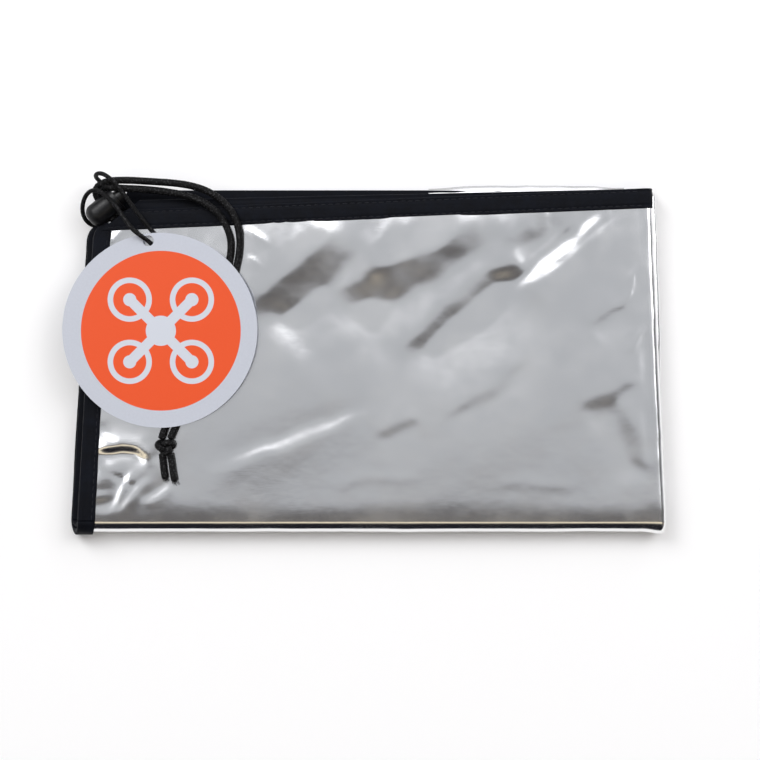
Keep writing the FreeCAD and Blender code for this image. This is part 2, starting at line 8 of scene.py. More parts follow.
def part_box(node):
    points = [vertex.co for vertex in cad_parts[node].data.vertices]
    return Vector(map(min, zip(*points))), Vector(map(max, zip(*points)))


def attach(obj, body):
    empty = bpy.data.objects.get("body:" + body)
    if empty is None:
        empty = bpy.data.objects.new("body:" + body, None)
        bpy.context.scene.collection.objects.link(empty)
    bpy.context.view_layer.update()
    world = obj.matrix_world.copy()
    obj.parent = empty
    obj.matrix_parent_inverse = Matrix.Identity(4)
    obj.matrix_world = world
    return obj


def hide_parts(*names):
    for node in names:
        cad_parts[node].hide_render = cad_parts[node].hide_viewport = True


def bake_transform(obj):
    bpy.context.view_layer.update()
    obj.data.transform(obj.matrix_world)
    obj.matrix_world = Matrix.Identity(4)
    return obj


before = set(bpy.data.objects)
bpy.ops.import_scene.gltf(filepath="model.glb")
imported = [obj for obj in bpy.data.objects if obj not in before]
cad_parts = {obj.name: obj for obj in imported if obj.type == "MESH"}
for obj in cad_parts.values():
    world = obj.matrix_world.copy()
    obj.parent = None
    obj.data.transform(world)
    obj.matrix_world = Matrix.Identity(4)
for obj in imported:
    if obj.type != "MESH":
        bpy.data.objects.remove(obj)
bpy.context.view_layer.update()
mm = 0.001
random.seed(7)


def low(node):
    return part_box(node)[0] / mm


def high(node):
    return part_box(node)[1] / mm


# levels of the leaves, from the table up, at the middle of each film
halfFilm = 0.25
levels = {
    "baseBack": 0.55,                       # the lowest leaf sags to the table between its tapes
    "baseFront": low("lower_front_film").z + halfFilm,
    "coverFront": high("lower_front_film").z - halfFilm,
    "coverBack": high("lower_back_film").z - halfFilm,
    "turnBack": low("upper_back_film").z + halfFilm,
    "turnFront": low("upper_front_film").z + halfFilm,
    "topFront": high("upper_front_film").z - halfFilm,
    "topBack": high("upper_back_film").z - halfFilm,
}
foldY = low("upper_back_film").y            # where the leaves turn into the bottom roll
backEdge = high("bottom_seam_binding").y    # the mouth side of the packet

packet = {
    "side": 119.5, "mouth": 69.5, "leftLean": 0.055, "rightLean": 0.0405,
    "hem": 8.0, "grip": 5.4, "pivot": 110.2,            # the hems turn about a point near their right end
    "backSlope": math.radians(2.4), "frontSlope": math.radians(1.3),
}


def leftSide(y):
    # the outer edge of the side tapes before they fan out
    return -packet["side"] + packet["leftLean"] * (y + packet["mouth"])


def rightEdge(y, inset=0.0):
    return packet["side"] - packet["rightLean"] * (y - foldY) - inset


def hemLine(x, slope):
    # the lower edge of a hem
    return backEdge - packet["hem"] / math.cos(slope) + math.tan(slope) * (x - packet["pivot"])


camera = {"lens": 85, "sensor": 36, "fieldWidth": 304, "aim": (4.4, -7.2)}


def makeCamera():
    data = bpy.data.cameras.new("camera")
    data.lens = camera["lens"]
    data.sensor_width = camera["sensor"]
    data.clip_start = 0.01
    eye = bpy.data.objects.new("camera", data)
    bpy.context.scene.collection.objects.link(eye)
    distance = camera["fieldWidth"] * camera["lens"] / camera["sensor"]
    x, y = camera["aim"]
    eye.location = Vector((x, y, high("upper_back_film").z + distance)) * mm
    bpy.context.scene.camera = eye


makeCamera()
bpy.context.scene.view_settings.view_transform = "Standard"
print("camera set")


class Wire:
    # a shader socket that works in ordinary arithmetic
    def __init__(self, paint, socket):
        self.paint = paint
        self.socket = socket

    def __add__(self, other):
        return self.paint.maths("ADD", self, other)

    __radd__ = __add__

    def __sub__(self, other):
        return self.paint.maths("SUBTRACT", self, other)

    def __rsub__(self, other):
        return self.paint.maths("SUBTRACT", other, self)

    def __mul__(self, other):
        return self.paint.maths("MULTIPLY", self, other)

    __rmul__ = __mul__

    def __gt__(self, other):
        return self.paint.maths("GREATER_THAN", self, other)


class Paint:
    # the node tree of one material, or of the world
    def __init__(self, tree):
        self.tree = tree

    def add(self, kind, settings=None, sockets=None, out=0):
        node = self.tree.nodes.new(kind)
        for key, value in (settings or {}).items():
            if key == "stops":
                ramp = node.color_ramp
                while len(ramp.elements) < len(value):
                    ramp.elements.new(0.5)
                for element, (place, colour) in zip(ramp.elements, value):
                    element.position = place
                    element.color = (*colour, 1)
            else:
                setattr(node, key, value)
        for key, value in (sockets or {}).items():
            if isinstance(value, Wire):
                self.tree.links.new(value.socket, node.inputs[key])
            else:
                node.inputs[key].default_value = value
        return Wire(self, node.outputs[out])

    def maths(self, operation, first, second=0.0):
        return self.add("ShaderNodeMath", {"operation": operation}, {0: first, 1: second})

    def join(self, wire, socket):
        self.tree.links.new(wire.socket, socket)

    def mixColour(self, mask, first, second):
        return self.add("ShaderNodeMix", {"data_type": "RGBA"}, {0: mask, 6: first, 7: second}, 2)

    def fade(self, value, start, end, toLow=0.0, toHigh=1.0):
        return self.add("ShaderNodeMapRange", {"interpolation_type": "SMOOTHSTEP"},
                        {0: value, 1: start, 2: end, 3: toLow, 4: toHigh})

    def place(self, stretch=(1, 1, 1), turn=0.0):
        # object coordinates in millimetres
        here = self.add("ShaderNodeTexCoord", out=3)
        return self.add("ShaderNodeMapping", None, {"Vector": here, "Scale": [s / mm for s in stretch],
                                                    "Rotation": (0, 0, turn)})

    def split(self, vector):
        node = self.tree.nodes.new("ShaderNodeSeparateXYZ")
        self.join(vector, node.inputs[0])
        return [Wire(self, socket) for socket in node.outputs]

    def noise(self, place, scale, detail=3.0, roughness=0.5):
        return self.add("ShaderNodeTexNoise", None, {"Vector": place, "Scale": scale, "Detail": detail,
                                                     "Roughness": roughness})

    def wave(self, place, scale, direction, distortion=0.0):
        return self.add("ShaderNodeTexWave", {"bands_direction": direction},
                        {"Vector": place, "Scale": scale, "Distortion": distortion})


def newMaterial(name, colour, roughness, metallic=0.0, **fixed):
    material = bpy.data.materials.new(name)
    material.use_nodes = True
    shader = material.node_tree.nodes["Principled BSDF"]
    shader.inputs["Base Color"].default_value = (*colour, 1)
    shader.inputs["Roughness"].default_value = roughness
    shader.inputs["Metallic"].default_value = metallic
    for key, value in fixed.items():
        shader.inputs[key.replace("_", " ")].default_value = value
    return material, Paint(material.node_tree), shader


def raised(paint, shader, height, depth, strength=1.0):
    bump = paint.add("ShaderNodeBump", None, {"Height": height, "Distance": depth * mm, "Strength": strength})
    paint.join(bump, shader.inputs["Normal"])


studio = {
    "ceiling": (0.455, 0.466, 0.488),
    "shade": (0.105, 0.1, 0.102),
    "black": (0.012, 0.012, 0.016),
    "gold": (0.95, 0.83, 0.62),
    "softbox": (1.75, 1.75, 1.8),
    "wall": (0.55, 0.55, 0.56),
    "floor": (0.97, 0.97, 0.975),
    "lamps": (("key", (-0.75, 0.8, 1.0), 0.7, 8.2), ("fill", (0.9, 0.5, 1.0), 0.7, 5.4)),
}


def makeStudio():
    world = bpy.data.worlds.new("studio")
    bpy.context.scene.world = world
    world.use_nodes = True
    paint = Paint(world.node_tree)
    across, along = paint.split(paint.add("ShaderNodeTexCoord"))[:2]
    # seen from the packet: the near wall is dark, the far wall carries the softbox
    near = [(-1.0, "black"), (-0.66, "black"), (-0.54, "shade"), (-0.44, "gold"), (-0.34, "gold"),
            (-0.27, "shade"), (-0.13, "shade"), (-0.085, "ceiling"), (0.16, "ceiling"), (0.24, "softbox"),
            (0.5, "softbox"), (0.62, "wall"), (0.76, "wall"), (1.0, "wall")]
    stops = [(0.5 + 0.5 * y, studio[tone]) for y, tone in near]
    room = paint.add("ShaderNodeValToRGB", {"stops": stops}, {0: along * 0.5 + 0.5})
    glow = paint.fade(across, 0.27, 0.34) * paint.fade(across, 0.5, 0.62, 1.0, 0.0)
    glow = glow * paint.fade(along, -0.03, 0.03)
    leftGlow = paint.fade(across, -0.34, -0.26, 1.0, 0.0) * paint.fade(along, -0.3, -0.15)
    leftGlow = leftGlow * paint.fade(across, -0.6, -0.5) * paint.fade(along, 0.3, 0.42, 1.0, 0.0)
    room = paint.mixColour(paint.maths("MAXIMUM", glow, leftGlow), room, (*studio["softbox"], 1))
    dim = paint.fade(across, 0.55, 0.7) * paint.fade(across, 0.85, 0.97, 1.0, 0.0)
    room = paint.mixColour(dim, room, (*studio["shade"], 1))
    room = paint.mixColour(paint.fade(across, -0.7, -0.6, 1.0, 0.0), room, (*studio["wall"], 1))
    paint.join(room, world.node_tree.nodes["Background"].inputs[0])
    for name, place, size, watts in studio["lamps"]:
        data = bpy.data.lights.new(name, "AREA")
        data.size = size
        data.energy = watts
        lamp = bpy.data.objects.new(name, data)
        lamp.location = place
        lamp.rotation_euler = (-Vector(place)).to_track_quat("-Z", "Y").to_euler()
        bpy.context.scene.collection.objects.link(lamp)


def makeFloor():
    reach = 3.0
    mesh = bpy.data.meshes.new("floor")
    mesh.from_pydata([(-reach, -reach, 0), (reach, -reach, 0), (reach, reach, 0), (-reach, reach, 0)],
                     [], [(0, 1, 2, 3)])
    floor = bpy.data.objects.new("floor", mesh)
    floor.location.z = -0.1 * mm
    bpy.context.scene.collection.objects.link(floor)
    mesh.materials.append(newMaterial("floor", studio["floor"], 0.85)[0])


makeStudio()
makeFloor()
print("studio ready")


def makeCordMaterial():
    material, paint, shader = newMaterial("braidedCord", (0.004, 0.004, 0.004), 0.55, Specular_IOR_Level=0.14)
    fibre = paint.noise(paint.place(), 3.5, 4.0, 0.65)
    fleck = paint.fade(paint.noise(paint.place(), 1.5, 1.0, 0.4), 0.56, 0.66)
    dark = paint.mixColour(paint.fade(fibre, 0.35, 0.75), (0.0015, 0.0015, 0.0018, 1),
                           (0.006, 0.006, 0.007, 1))
    paint.join(paint.mixColour(fleck, dark, (0.032, 0.032, 0.034, 1)), shader.inputs["Base Color"])
    paint.join(paint.fade(fibre, 0.2, 0.8, 0.45, 0.7), shader.inputs["Roughness"])
    raised(paint, shader, fibre, 0.12, 0.6)
    return material


def makeTapeMaterial():
    material, paint, shader = newMaterial("wovenTape", (0.003, 0.0035, 0.006), 0.6, Specular_IOR_Level=0.09)
    place = paint.place()
    weave = paint.wave(place, 0.62, "X") * paint.wave(place, 0.62, "Y")     # warp and weft
    worn = paint.noise(place, 0.22, 4.0, 0.6)
    dark = paint.mixColour(paint.fade(worn, 0.3, 0.75), (0.0015, 0.0019, 0.0038, 1),
                           (0.0042, 0.0054, 0.0095, 1))
    paint.join(paint.mixColour(weave * 0.4, dark, (0.009, 0.0108, 0.0175, 1)), shader.inputs["Base Color"])
    paint.join(paint.fade(worn, 0.2, 0.8, 0.46, 0.66), shader.inputs["Roughness"])
    raised(paint, shader, weave + 1.6 * worn, 0.1, 0.6)
    return material


def makeFilmMaterial():
    material, paint, shader = newMaterial("metalFilm", (0.93, 0.935, 0.945), 0.17, 1.0)
    place = paint.place()
    cloud = paint.noise(place, 0.05, 4.0, 0.6)
    grain = paint.noise(paint.place((1, 5, 1), 0.65), 0.35, 3.0, 0.55)
    paint.join(paint.mixColour(cloud, (0.90, 0.905, 0.92, 1), (0.96, 0.96, 0.955, 1)),
               shader.inputs["Base Color"])
    paint.join(paint.fade(cloud, 0.3, 0.7, 0.13, 0.2), shader.inputs["Roughness"])
    swell = paint.noise(place, 0.12, 2.0, 0.45)
    raised(paint, shader, 0.8 * swell + 0.07 * grain, 0.12, 0.6)
    return material


def makeThreadMaterial():
    material, paint, shader = newMaterial("sewingThread", (0.004, 0.004, 0.006), 0.5, Specular_IOR_Level=0.2)
    twist = paint.wave(paint.place(), 2.5, "DIAGONAL")
    paint.join(paint.mixColour(twist, (0.003, 0.003, 0.005, 1), (0.016, 0.017, 0.024, 1)),
               shader.inputs["Base Color"])
    raised(paint, shader, twist, 0.05)
    return material


def makePlasticMaterial():
    material, paint, shader = newMaterial("lockPlastic", (0.006, 0.006, 0.007), 0.5, Specular_IOR_Level=0.3)
    place = paint.place()
    scuff = paint.noise(place, 0.9, 5.0, 0.7)
    black = paint.mixColour(paint.fade(scuff, 0.45, 0.8), (0.004, 0.004, 0.005, 1), (0.012, 0.012, 0.014, 1))
    paint.join(black, shader.inputs["Base Color"])
    paint.join(paint.fade(scuff, 0.3, 0.8, 0.3, 0.5), shader.inputs["Roughness"])
    raised(paint, shader, paint.noise(place, 6.0, 2.0), 0.03, 0.5)
    return material


def makeSteelMaterial():
    material, paint, shader = newMaterial("springSteel", (0.55, 0.55, 0.56), 0.3, 1.0)
    drawn = paint.noise(paint.place((1, 1, 8)), 2.0)
    paint.join(paint.fade(drawn, 0.3, 0.7, 0.22, 0.4), shader.inputs["Roughness"])
    return material


finish = {"cord": makeCordMaterial(), "tape": makeTapeMaterial(), "film": makeFilmMaterial(),
          "thread": makeThreadMaterial(), "plastic": makePlasticMaterial(), "steel": makeSteelMaterial()}
print("materials mixed")


def addMesh(name, points, faces, material):
    mesh = bpy.data.meshes.new(name)
    mesh.from_pydata([tuple(c * mm for c in p) for p in points], [], faces)
    mesh.validate()
    mesh.update()
    mesh.materials.append(finish[material])
    for face in mesh.polygons:
        face.use_smooth = True
    piece = bpy.data.objects.new(name, mesh)
    bpy.context.scene.collection.objects.link(piece)
    return piece


def standIn(piece, body, node):
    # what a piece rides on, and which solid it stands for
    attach(piece, body)
    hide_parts(node)


def ringFaces(rings, around, start=0, capped=True):
    # quads between closed rings of points, with an n-gon at each end
    faces = []
    for i in range(rings - 1):
        for j in range(around):
            k = (j + 1) % around
            a, b = start + i * around, start + (i + 1) * around
            faces.append((a + j, a + k, b + k, b + j))
    if capped:
        last = start + (rings - 1) * around
        faces.append(tuple(start + j for j in reversed(range(around))))
        faces.append(tuple(last + j for j in range(around)))
    return faces


def smoothLine(name, route):
    # points along the smooth line that a cord follows, in millimetres
    curve = bpy.data.curves.new(name, "CURVE")
    curve.dimensions = "3D"
    spline = curve.splines.new("NURBS")
    spline.points.add(len(route) - 1)
    for point, place in zip(spline.points, route):
        point.co = (*(c * mm for c in place), 1)
    spline.order_u = 3
    spline.use_endpoint_u = True
    spline.resolution_u = 24
    holder = bpy.data.objects.new(name, curve)
    bpy.context.scene.collection.objects.link(holder)
    line = bpy.data.meshes.new_from_object(holder)
    points = [v.co / mm for v in line.vertices]
    bpy.data.objects.remove(holder)
    return points


def evenly(points, step):
    # the same line, cut into steps of one length
    travel = [0.0]
    for a, b in zip(points, points[1:]):
        travel.append(travel[-1] + (b - a).length)
    count = max(4, round(travel[-1] / step))
    placed, k = [], 0
    for i in range(count + 1):
        want = travel[-1] * i / count
        while k < len(points) - 2 and travel[k + 1] < want:
            k += 1
        share = (want - travel[k]) / max(travel[k + 1] - travel[k], 1e-9)
        placed.append(points[k].lerp(points[k + 1], min(max(share, 0), 1)))
    return placed, travel[-1]


def framesAlong(points):
    # a steady pair of side directions at each point
    frames, side = [], None
    for i, point in enumerate(points):
        ahead = (points[min(i + 1, len(points) - 1)] - points[max(i - 1, 0)]).normalized()
        if side is None:
            side = ahead.orthogonal().normalized()
        side = (side - ahead * side.dot(ahead)).normalized()
        frames.append((point, side, ahead.cross(side)))
    return frames


def braidTube(points, diameter, step, around, strands, pitch, relief, tips=(1.0, 1.0)):
    # round cord whose strands rise and dip over each other
    line, length = evenly(points, step)
    frames = framesAlong(line)
    last = len(frames) - 1
    placed = []
    for i, (point, side, over) in enumerate(frames):
        s = i * length / last
        for j in range(around):
            turn = 2 * math.pi * j / around
            u = strands * turn / (2 * math.pi) + s / pitch
            v = strands * turn / (2 * math.pi) - s / pitch
            top = (math.floor(u) + math.floor(v)) % 2
            a, b = math.sin(math.pi * (u % 1)), math.sin(math.pi * (v % 1))
            swell = a * 0.8 + b * 0.2 if top else b * 0.8 + a * 0.2
            r = diameter / 2 * (1 - relief + relief * swell)
            near = min(i / 3, (last - i) / 3, 1.0)
            tip = tips[0] if i < last / 2 else tips[1]
            r *= 1 - (1 - math.sqrt(max(1 - (1 - near) ** 2, 0.02))) * tip
            placed.append(point + (side * math.cos(turn) + over * math.sin(turn)) * r)
    return placed, ringFaces(len(frames), around), line, length


cords = {
    "outer": [
        (-102.26, 56.56, 9.95), (-109.3, 65.24, 9.95), (-109.3, 70.1, 11.2), (-104.2, 72.3, 13.3),
        (-96.0, 72.5, 13.5), (-86.5, 71.9, 13.45), (-76.5, 71.3, 13.4), (-68.5, 69.8, 13.4),
        (-62.2, 67.1, 13.4), (-57.0, 63.0, 13.4), (-53.4, 57.8, 13.4), (-51.6, 51.6, 13.2),
        (-51.5, 44.6, 12.7), (-53.2, 36.0, 12.6), (-57.4, 22.0, 12.6), (-63.4, 6.0, 12.6),
        (-69.4, -8.6, 12.6), (-74.4, -19.6, 12.6), (-77.6, -26.6, 12.7), (-79.4, -31.0, 13.2)],
    "inner": [
        (-99.89, 58.48, 9.95), (-107.4, 67.72, 9.95), (-106.7, 70.0, 11.4), (-103.4, 69.7, 13.0),
        (-98.2, 69.2, 13.4), (-92.0, 69.0, 13.4), (-84.5, 68.4, 13.4), (-76.4, 67.2, 13.4),
        (-69.3, 65.3, 13.4), (-63.5, 62.3, 13.4), (-59.0, 58.1, 13.4), (-56.0, 52.7, 13.4),
        (-54.7, 46.2, 12.7), (-56.4, 36.6, 12.6), (-61.2, 22.0, 12.6), (-67.2, 5.8, 12.6),
        (-73.2, -8.6, 12.6), (-78.2, -19.6, 12.6), (-81.6, -26.4, 12.7), (-82.9, -31.0, 13.2)],
    "loop": [
        (-85.3, 44.2, 12.6), (-86.2, 46.8, 12.65), (-89.7, 49.5, 16.95), (-93.6, 52.2, 17.2),
        (-97.2, 57.0, 16.7), (-100.8, 62.2, 16.4), (-104.6, 66.3, 16.4), (-108.4, 68.6, 15.6),
        (-112.0, 67.8, 13.4), (-114.4, 64.4, 11.0), (-115.2, 60.2, 8.4), (-114.0, 56.6, 5.6),
        (-110.9, 54.8, 3.4), (-107.4, 56.4, 2.3), (-105.2, 60.0, 2.0), (-104.8, 64.6, 2.2),
        (-106.2, 69.0, 3.4), (-108.2, 72.6, 6.0), (-109.5, 74.0, 9.6), (-108.9, 74.9, 13.2),
        (-106.4, 75.1, 16.0), (-103.0, 73.2, 17.1), (-99.6, 69.6, 16.8), (-96.6, 65.6, 15.8),
        (-93.4, 60.8, 14.7), (-90.0, 56.4, 13.7), (-86.9, 52.6, 12.9), (-84.5, 49.6, 12.5),
        (-83.4, 46.8, 12.5), (-83.2, 44.2, 12.6)],
    "leftTail": [(-82.6, -36.4, 13.0), (-82.2, -40.0, 12.6), (-81.9, -43.4, 12.6), (-81.3, -46.8, 12.6)],
    "rightTail": [(-79.4, -36.4, 13.0), (-78.7, -40.0, 12.6), (-78.3, -43.8, 12.6), (-77.5, -47.8, 12.6)],
    "diameter": 3.0,
    "loopDiameter": 1.8,
    "strands": 6,
    "pitch": 1.25,
    "relief": 0.25,
    "fibres": 14,
}


def declareCord(piece, path, length):
    tuple(path[0] * mm)
    length * mm
    [tuple(p * mm) for p in path]
    print(piece.name, "is", round(length, 1), "mm")


def makeCord(name, route, diameter, step=0.3, around=40, relief=cords["relief"], pitch=cords["pitch"]):
    line = smoothLine(name + "_line", route)
    points, faces, path, length = braidTube(line, diameter, step, around, cords["strands"], pitch, relief)
    return addMesh(name, points, faces, "cord"), path, length


def trefoil(count, half):
    # an overhand knot with its ends run together, seen from above
    points = []
    for i in range(count + 1):
        t = 2 * math.pi * i / count + 0.4
        x = (math.sin(t) + 2 * math.sin(2 * t)) / 3
        y = (math.cos(t) - 2 * math.cos(2 * t)) / 3
        points.append(Vector((x * half[0], y * half[1], -math.sin(3 * t) * half[2])))
    return points


def makeKnot(name, node, thickness):
    lowest, highest = low(node), high(node)
    centre = (lowest + highest) / 2
    half = [(highest[k] - lowest[k]) / 2 - thickness / 2 * 0.8 for k in range(3)]
    line = [centre + p for p in trefoil(150, half)]
    points, faces = braidTube(line, thickness, step=0.3, around=32, strands=cords["strands"],
                              pitch=1.1, relief=0.14)[:2]
    piece = addMesh(name, points, faces, "cord")
    standIn(piece, "upper_half", node)
    return piece


def makeTail(name, route, node):
    line = smoothLine(name + "_line", route)
    points, faces, path = braidTube(line, cords["diameter"] * 0.94, step=0.3, around=36,
                                    strands=cords["strands"], pitch=cords["pitch"], relief=0.14,
                                    tips=(0.3, 0.75))[:3]
    # a few fibres that have come loose at the cut end
    ahead = (path[-1] - path[-4]).normalized()
    for k in range(cords["fibres"]):
        turn = 2 * math.pi * k / cords["fibres"] + random.uniform(-0.2, 0.2)
        out = Vector((math.cos(turn) * 0.9, math.sin(turn) * 0.25, math.sin(turn) * 0.8))
        root = path[-1] - ahead * 0.9 + out * 0.75
        reach = random.uniform(1.2, 2.6)
        bend = Vector((random.uniform(-0.7, 0.7), 0, random.uniform(-0.5, 0.3)))
        fibre = [root + ahead * (reach * t) + (out * 0.45 + bend) * t * t for t in (0, 0.25, 0.5, 0.75, 1)]
        start = len(points)
        for step, (point, side, over) in enumerate(framesAlong(fibre)):
            r = 0.13 - 0.02 * step
            points.extend(point + (side * math.cos(a) + over * math.sin(a)) * r
                          for a in (math.pi * j / 3 for j in range(6)))
        faces.extend(ringFaces(5, 6, start))
    piece = addMesh(name, points, faces, "cord")
    standIn(piece, "upper_half", node)
    return piece


cordKnot = makeKnot("cord_knot", "drawcord_knot", 2.7)
loopKnot = makeKnot("loop_knot", "tag_loop_knot", 1.5)
tailLeft = makeTail("tail_left", cords["leftTail"], "cord_tail_left")
tailRight = makeTail("tail_right", cords["rightTail"], "cord_tail_right")
for name, key, node, ends in (("cord_outer", "outer", "drawcord_outer", [cordKnot, tailRight]),
                              ("cord_inner", "inner", "drawcord_inner", [tailLeft])):
    piece, path, length = makeCord(name, cords[key], cords["diameter"])
    standIn(piece, "upper_half", node)
    declareCord(piece, path, length)

tagLoop, path, length = makeCord("elastic_loop", cords["loop"], cords["loopDiameter"], step=0.25,
                                 around=24, relief=0.08, pitch=0.6)
standIn(tagLoop, "upper_half", "tag_loop")
declareCord(tagLoop, path, length)


film = {
    "gauge": 0.12,
    "cell": 1.25,
    "run": 228, "rise": 133,            # rough size of a leaf, which sets its cells
    "turnCells": 12, "underCells": 40,
    "bindingInset": 1.5,
    "edgeInset": 0.25,
    "calmRun": 9.0,                     # the film lies still over this run beside the roll
    "fan": 2.4,
    "rollTilt": math.radians(4),
    "rollLength": 9.0,
    # soft steps: points, half width, tilt in degrees; a positive tilt lifts the left side of the line
    "steps": [
        ([(-47, 14), (-30, 30), (-17, 41), (-5, 53)], 8.2, 8.6),
        ([(-18, 21), (6, 31), (28, 41), (54, 57)], 8.4, 8.6),
        ([(10, -2), (32, 19), (50, 33), (70, 41)], 5.6, 8.2),
        ([(54, 44), (66, 53), (75, 62)], 5.0, 5.8),
        ([(83, -20), (97, -14), (109, -7)], 3.0, 3.4),
        ([(97, -13), (105, -31), (112, -48)], 3.4, 5.4),
        ([(88, 12), (95, 18), (103, 24)], 2.5, 4.6),
        ([(29, -24), (50, -12), (66, 3)], 3.0, 3.0),
        ([(2, -32), (12, -27), (22, -23)], 2.5, 3.2),
        ([(-110, -37), (-99.6, -34.2), (-93, -35.6), (-87, -41)], 1.6, 27.0),
        ([(-68, -44), (-45, -36), (-20, -27), (4, -17.5)], 2.6, -6.2),
        ([(-92, -32), (-88, -36.5), (-85, -41)], 1.4, -6.5),
        ([(54, 25), (70, 38), (83, 49), (95, 63)], 2.7, -7.6),
        ([(-106.5, -63), (-100, -52), (-94, -41)], 1.3, -11.0),
        ([(-103, -62), (-95, -53), (-87, -45)], 1.1, -10.0),
        ([(-91, -57), (-85, -53), (-78, -48)], 1.3, -9.0),
        ([(-110, -26), (-103, -31), (-97, -36)], 1.2, -7.0),
    ],
    # narrow creases: points, half width, rise
    "creases": [
        ([(-50, 54), (-45, 50), (-39, 46)], 1.1, 0.34),
        ([(-50, 42.5), (-45, 39), (-39, 35.5)], 1.0, 0.28),
        ([(63, 30), (76, 40), (90, 52), (99, 60)], 0.8, -0.12),
        ([(58, 33), (68, 43), (78, 53), (86, 61)], 0.8, 0.1),
        ([(86, 44), (92, 50), (100, 58)], 0.6, 0.08),
        ([(-104, -44), (-98, -47), (-93, -52)], 0.7, -0.22),
        ([(-109, 46), (-103, 49), (-97, 54)], 0.8, 0.26),
        ([(-106, 53), (-103, 48), (-101, 43)], 0.7, -0.2),
        ([(100, 20), (104, 28), (107, 40)], 0.8, 0.2),
        ([(104, 2), (108, 10), (111, 16)], 0.7, 0.2),
        ([(20, 52), (24, 56), (26, 60)], 0.8, 0.18),
        ([(-20, -50), (0, -46), (24, -47)], 2.4, 0.05),
        ([(44, -50), (62, -48), (88, -51)], 2.4, 0.05),
    ],
}


def smoothstep(value):
    value = np.clip(value, 0, 1)
    return value * value * (3 - 2 * value)


def besideLine(points, x, y):
    # signed distance to the left of a line, and the share of the way along it
    runs = [math.dist(a, b) for a, b in zip(points, points[1:])]
    gap, side, share = np.full(x.shape, 1e9), np.zeros(x.shape), np.zeros(x.shape)
    done = 0.0
    for (ax, ay), (bx, by), run in zip(points, points[1:], runs):
        ux, uy = (bx - ax) / run, (by - ay) / run
        t = np.clip((x - ax) * ux + (y - ay) * uy, 0, run)
        dx, dy = x - ax - t * ux, y - ay - t * uy
        away = np.hypot(dx, dy)
        nearer = away < gap
        gap = np.where(nearer, away, gap)
        side = np.where(nearer, np.sign(ux * dy - uy * dx) * away, side)
        share = np.where(nearer, (done + t) / sum(runs), share)
        done += run
    return side, share


def noiseField(x, y, size, seed, stretch=(1, 1), turn=0.0):
    c, s = math.cos(turn), math.sin(turn)
    u = (x * c + y * s) / (size * stretch[0])
    v = (y * c - x * s) / (size * stretch[1])
    return np.array([[noise.noise(Vector((a, b, seed))) for a, b in zip(p, q)] for p, q in zip(u, v)])


def crumple(x, y):
    # how far the top film stands off its flat level
    z = 0.22 * noiseField(x, y, 46, 3.1, (1.5, 0.8), 0.62)
    z += 0.035 * noiseField(x, y, 15, 8.4, (1.7, 0.7), 0.62)
    for points, width, tilt in film["steps"]:
        side, share = besideLine(points, x, y)
        ends = smoothstep(share / 0.22) * smoothstep((1 - share) / 0.22)
        ragged = side + 1.5 * noiseField(x, y, 11, width + tilt)
        half = width * (0.45 + 0.55 * np.sin(math.pi * share))
        part = ragged / half
        rise = math.radians(tilt) * half
        z += rise * part / (1 + np.abs(part) ** 5) ** 0.2 * np.exp(-(side / (3.6 * width)) ** 2) * ends
    for points, width, rise in film["creases"]:
        side, share = besideLine(points, x, y)
        ends = smoothstep(share / 0.3) * smoothstep((1 - share) / 0.3)
        ragged = side + 0.8 * noiseField(x, y, 6, width * 7 + rise)
        z += rise * np.exp(-(ragged / width) ** 2) * ends
    # puckers where the film is gathered into the hem and into the side tape
    toHem = np.clip(hemLine(x, packet["backSlope"]) - y, 0, None)
    z += 0.16 * noiseField(x, y, 3.2, 5.5, (1, 5)) * np.exp(-(toHem / 7) ** 2)
    toSide = np.clip(x - leftSide(y) - 9.4, 0, None)
    z += 0.2 * noiseField(x, y, 3.6, 9.2, (5, 1)) * np.exp(-(toSide / 6) ** 2)
    z += 0.3 * noiseField(x, y, 6.5, 2.2) * np.exp(-(toSide / 11) ** 2) * smoothstep((-30 - y) / 18)
    z += 0.3 * noiseField(x, y, 6.0, 4.4) * np.exp(-(toSide / 12) ** 2) * smoothstep((y - 38) / 8)
    # the flat grows quieter towards the roll, and sinks a little along the right edge
    z *= smoothstep((y - foldY) / film["calmRun"])
    z -= 0.25 * np.exp(-((x - 112) / 3.5) ** 2) * (0.5 + 0.9 * noiseField(x, y, 17, 6.6, (1, 1)))
    return np.clip(z, -0.85, 0.9)


def leftEdge(y, fan=0.0):
    return leftSide(y) + fan + film["bindingInset"]


def rollDrop(y):
    # the film starts to lean before it turns under
    length, tilt = film["rollLength"], math.tan(film["rollTilt"])
    part = np.clip((foldY + length - y) / length, 0, 1)
    return part ** 2 * length * tilt / 2


def addGauge(piece):
    # real thickness, with crisp cut edges
    for edge, uses in edgeUses(piece.data).items():
        if uses == 1:
            piece.data.edges[edge].use_edge_sharp = True
    solid = piece.modifiers.new("gauge", "SOLIDIFY")
    solid.thickness = film["gauge"] * mm
    solid.offset = 0


def edgeUses(mesh):
    uses = {}
    for loop in mesh.loops:
        uses[loop.edge_index] = uses.get(loop.edge_index, 0) + 1
    return uses


def gridPiece(name, x, y, z, flip=False):
    rows, columns = x.shape
    points = list(zip(x.ravel(), y.ravel(), z.ravel()))
    faces = []
    for i in range(rows - 1):
        for j in range(columns - 1):
            a = i * columns + j
            quad = (a, a + 1, a + columns + 1, a + columns)
            faces.append(tuple(reversed(quad)) if flip else quad)
    piece = addMesh(name, points, faces, "film")
    addGauge(piece)
    return piece


